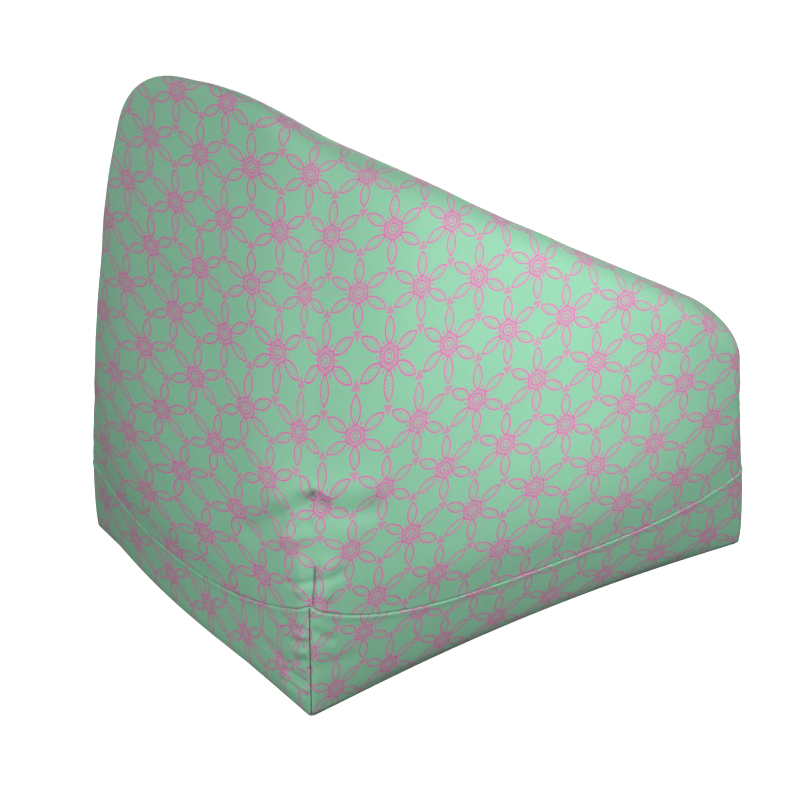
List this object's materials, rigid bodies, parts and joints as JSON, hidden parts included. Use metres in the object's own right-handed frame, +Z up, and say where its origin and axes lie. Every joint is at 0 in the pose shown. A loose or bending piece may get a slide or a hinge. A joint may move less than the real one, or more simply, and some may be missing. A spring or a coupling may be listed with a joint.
{
  "type": "bean bag lounger",
  "caption": "Wedge-shaped filled lounger with a tall back, a sloping seat, soft rounded edges and a sewn band round its flat base.",
  "frame": {"origin": "middle of the base, on the floor", "axes": "+Z up, +X from the tall back towards the low front, +Y from the near side to the far side"},
  "size_m": [0.9172, 0.7487, 0.7611],
  "materials": {
    "cover_cloth": "matte printed cotton",
    "band_cloth": "matte printed cotton",
    "base_cloth": "matte plain cotton"
  },
  "bodies": {
    "root": {"filled_body": "cover_cloth", "band_back": "band_cloth", "band_near_side": "band_cloth", "band_front": "band_cloth", "band_far_side": "band_cloth", "base_panel": "base_cloth"}
  },
  "joints": []
}
